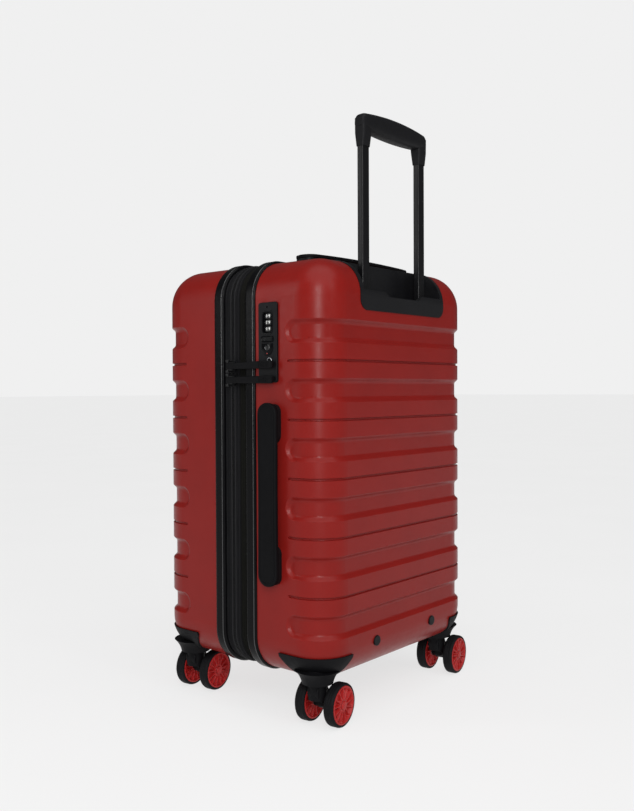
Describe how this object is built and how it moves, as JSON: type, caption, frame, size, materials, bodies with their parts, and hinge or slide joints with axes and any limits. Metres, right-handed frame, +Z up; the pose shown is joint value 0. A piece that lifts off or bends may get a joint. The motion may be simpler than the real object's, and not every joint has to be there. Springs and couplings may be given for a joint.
{
  "type": "hard shell suitcase",
  "caption": "Upright hard shell cabin suitcase with twin-wheel swivelling casters, a telescopic handle, carry handles and a zipped book opening.",
  "frame": {"origin": "on the floor, under the middle of the case", "axes": "+X to the side with the lock and the side handle, +Y to the back with the telescopic handle, +Z up"},
  "size_m": [0.3512, 0.2886, 0.7464],
  "materials": {
    "shell_red": "satin, fine moulded grain",
    "trim_black": "semi-gloss moulding",
    "tape_black": "woven zip tape",
    "lining_grey": "polyester lining",
    "black_plastic": "fine grain",
    "tube_black": "black anodised",
    "grip_black": "soft-touch",
    "hub_red": "moulded",
    "tyre_black": "polyurethane tread",
    "steel": "plated",
    "dial_black": "with white numerals"
  },
  "bodies": {
    "root": {"back_shell": "shell_red", "back_trim": "trim_black", "expansion_gusset": "tape_black", "lining_back": "lining_grey", "handle_tray": "black_plastic", "outer_tubes": "tube_black", "tube_bracket": "black_plastic", "bracket_screws": "black_plastic", "lock_plate": "black_plastic", "side_handle_mounts": "black_plastic", "top_handle_mounts": "black_plastic", "caster_housings_back": "black_plastic", "kingpins_back": "steel"},
    "zip_frame": {"back_zip_tape": "tape_black", "hinge_strip": "tape_black"},
    "front_half": {"front_shell": "shell_red", "front_trim": "trim_black", "front_zip_tape": "tape_black", "lining_front": "lining_grey", "caster_housings_front": "black_plastic", "kingpins_front": "steel"},
    "slider_upper": {"zip_slider_upper": "steel"},
    "slider_lower": {"zip_slider_lower": "steel"},
    "pull_upper": {"zip_pull_upper": "black_plastic"},
    "pull_lower": {"zip_pull_lower": "black_plastic"},
    "dial_1": {"lock_dial_1": "dial_black"},
    "dial_2": {"lock_dial_2": "dial_black"},
    "dial_3": {"lock_dial_3": "dial_black"},
    "lock_release": {"lock_release": "black_plastic"},
    "lock_cylinder": {"lock_cylinder": "steel"},
    "side_handle": {"side_handle_strap": "black_plastic"},
    "top_handle": {"top_handle_strap": "black_plastic"},
    "middle_stage": {"middle_tubes": "tube_black"},
    "upper_stage": {"inner_tubes": "tube_black", "handle_grip": "grip_black"},
    "release_button": {"release_button": "black_plastic"},
    "caster_back_right": {"fork_back_right": "black_plastic", "axle_back_right": "steel"},
    "wheel_back_right_outer": {"hub_back_right_outer": "hub_red", "tyre_back_right_outer": "tyre_black"},
    "wheel_back_right_inner": {"hub_back_right_inner": "hub_red", "tyre_back_right_inner": "tyre_black"},
    "caster_back_left": {"fork_back_left": "black_plastic", "axle_back_left": "steel"},
    "wheel_back_left_outer": {"hub_back_left_outer": "hub_red", "tyre_back_left_outer": "tyre_black"},
    "wheel_back_left_inner": {"hub_back_left_inner": "hub_red", "tyre_back_left_inner": "tyre_black"},
    "caster_front_right": {"fork_front_right": "black_plastic", "axle_front_right": "steel"},
    "wheel_front_right_outer": {"hub_front_right_outer": "hub_red", "tyre_front_right_outer": "tyre_black"},
    "wheel_front_right_inner": {"hub_front_right_inner": "hub_red", "tyre_front_right_inner": "tyre_black"},
    "caster_front_left": {"fork_front_left": "black_plastic", "axle_front_left": "steel"},
    "wheel_front_left_outer": {"hub_front_left_outer": "hub_red", "tyre_front_left_outer": "tyre_black"},
    "wheel_front_left_inner": {"hub_front_left_inner": "hub_red", "tyre_front_left_inner": "tyre_black"}
  },
  "joints": [
    {"name": "expansion", "type": "slide", "parent": "root", "child": "zip_frame", "axis": [0, -1, 0], "range_m": [0, 0.035], "deforming": ["expansion_gusset"]},
    {"name": "case_open", "type": "hinge", "parent": "zip_frame", "child": "front_half", "pos_m": [-0.166, -0.003, 0.3], "axis": [0, 0, -1], "range_deg": [0, 150], "deforming": ["hinge_strip"]},
    {"name": "zip_slide_upper", "type": "slide", "parent": "zip_frame", "child": "slider_upper", "axis": [0, 0, 1], "range_m": [0, 0.06]},
    {"name": "zip_slide_lower", "type": "slide", "parent": "zip_frame", "child": "slider_lower", "axis": [0, 0, -1], "range_m": [0, 0.018]},
    {"name": "pull_swing_upper", "type": "hinge", "parent": "slider_upper", "child": "pull_upper", "pos_m": [0.1702, -0.003, 0.4326], "axis": [0, 0, -1], "range_deg": [0, 150]},
    {"name": "pull_swing_lower", "type": "hinge", "parent": "slider_lower", "child": "pull_lower", "pos_m": [0.1702, -0.003, 0.4156], "axis": [0, 0, -1], "range_deg": [0, 150]},
    {"name": "dial_spin_1", "type": "hinge", "parent": "root", "child": "dial_1", "pos_m": [0.1606, 0.059, 0.4913], "axis": [0, 0, 1], "continuous": true},
    {"name": "dial_spin_2", "type": "hinge", "parent": "root", "child": "dial_2", "pos_m": [0.1606, 0.059, 0.4836], "axis": [0, 0, 1], "continuous": true},
    {"name": "dial_spin_3", "type": "hinge", "parent": "root", "child": "dial_3", "pos_m": [0.1606, 0.059, 0.4759], "axis": [0, 0, 1], "continuous": true},
    {"name": "lock_press", "type": "slide", "parent": "root", "child": "lock_release", "axis": [-1, 0, 0], "range_m": [0, 0.0015], "stiffness_N_per_m": 400},
    {"name": "key_turn", "type": "hinge", "parent": "root", "child": "lock_cylinder", "pos_m": [0.162, 0.059, 0.454], "axis": [1, 0, 0], "range_deg": [0, 90]},
    {"name": "side_handle_pull", "type": "slide", "parent": "root", "child": "side_handle", "axis": [1, 0, 0], "range_m": [0, 0.009], "stiffness_N_per_m": 300},
    {"name": "top_handle_pull", "type": "slide", "parent": "root", "child": "top_handle", "axis": [0, 0, 1], "range_m": [0, 0.009], "stiffness_N_per_m": 300},
    {"name": "handle_lower_stage", "type": "slide", "parent": "root", "child": "middle_stage", "axis": [0, 0, 1], "range_m": [0, 0.22]},
    {"name": "handle_upper_stage", "type": "slide", "parent": "middle_stage", "child": "upper_stage", "axis": [0, 0, 1], "range_m": [-0.175, 0]},
    {"name": "button_press", "type": "slide", "parent": "upper_stage", "child": "release_button", "axis": [0, 0, -1], "range_m": [0, 0.0035], "stiffness_N_per_m": 500},
    {"name": "swivel_back_right", "type": "hinge", "parent": "root", "child": "caster_back_right", "pos_m": [0.132, 0.107, 0.05], "axis": [0, 0, 1], "continuous": true},
    {"name": "wheel_spin_back_right_outer", "type": "hinge", "parent": "caster_back_right", "child": "wheel_back_right_outer", "pos_m": [0.11409, 0.12549, 0.0263], "axis": [-0.1132, 0.9936, 0], "continuous": true},
    {"name": "wheel_spin_back_right_inner", "type": "hinge", "parent": "caster_back_right", "child": "wheel_back_right_inner", "pos_m": [0.11871, 0.08495, 0.0263], "axis": [-0.1132, 0.9936, 0], "continuous": true},
    {"name": "swivel_back_left", "type": "hinge", "parent": "root", "child": "caster_back_left", "pos_m": [-0.132, 0.107, 0.05], "axis": [0, 0, 1], "continuous": true},
    {"name": "wheel_spin_back_left_outer", "type": "hinge", "parent": "caster_back_left", "child": "wheel_back_left_outer", "pos_m": [-0.14991, 0.12549, 0.0263], "axis": [-0.1132, 0.9936, 0], "continuous": true},
    {"name": "wheel_spin_back_left_inner", "type": "hinge", "parent": "caster_back_left", "child": "wheel_back_left_inner", "pos_m": [-0.14529, 0.08495, 0.0263], "axis": [-0.1132, 0.9936, 0], "continuous": true},
    {"name": "swivel_front_right", "type": "hinge", "parent": "front_half", "child": "caster_front_right", "pos_m": [0.132, -0.107, 0.05], "axis": [0, 0, 1], "continuous": true},
    {"name": "wheel_spin_front_right_outer", "type": "hinge", "parent": "caster_front_right", "child": "wheel_front_right_outer", "pos_m": [0.11871, -0.12905, 0.0263], "axis": [-0.1132, 0.9936, 0], "continuous": true},
    {"name": "wheel_spin_front_right_inner", "type": "hinge", "parent": "caster_front_right", "child": "wheel_front_right_inner", "pos_m": [0.11409, -0.08851, 0.0263], "axis": [-0.1132, 0.9936, 0], "continuous": true},
    {"name": "swivel_front_left", "type": "hinge", "parent": "front_half", "child": "caster_front_left", "pos_m": [-0.132, -0.107, 0.05], "axis": [0, 0, 1], "continuous": true},
    {"name": "wheel_spin_front_left_outer", "type": "hinge", "parent": "caster_front_left", "child": "wheel_front_left_outer", "pos_m": [-0.14529, -0.12905, 0.0263], "axis": [-0.1132, 0.9936, 0], "continuous": true},
    {"name": "wheel_spin_front_left_inner", "type": "hinge", "parent": "caster_front_left", "child": "wheel_front_left_inner", "pos_m": [-0.14991, -0.08851, 0.0263], "axis": [-0.1132, 0.9936, 0], "continuous": true}
  ]
}
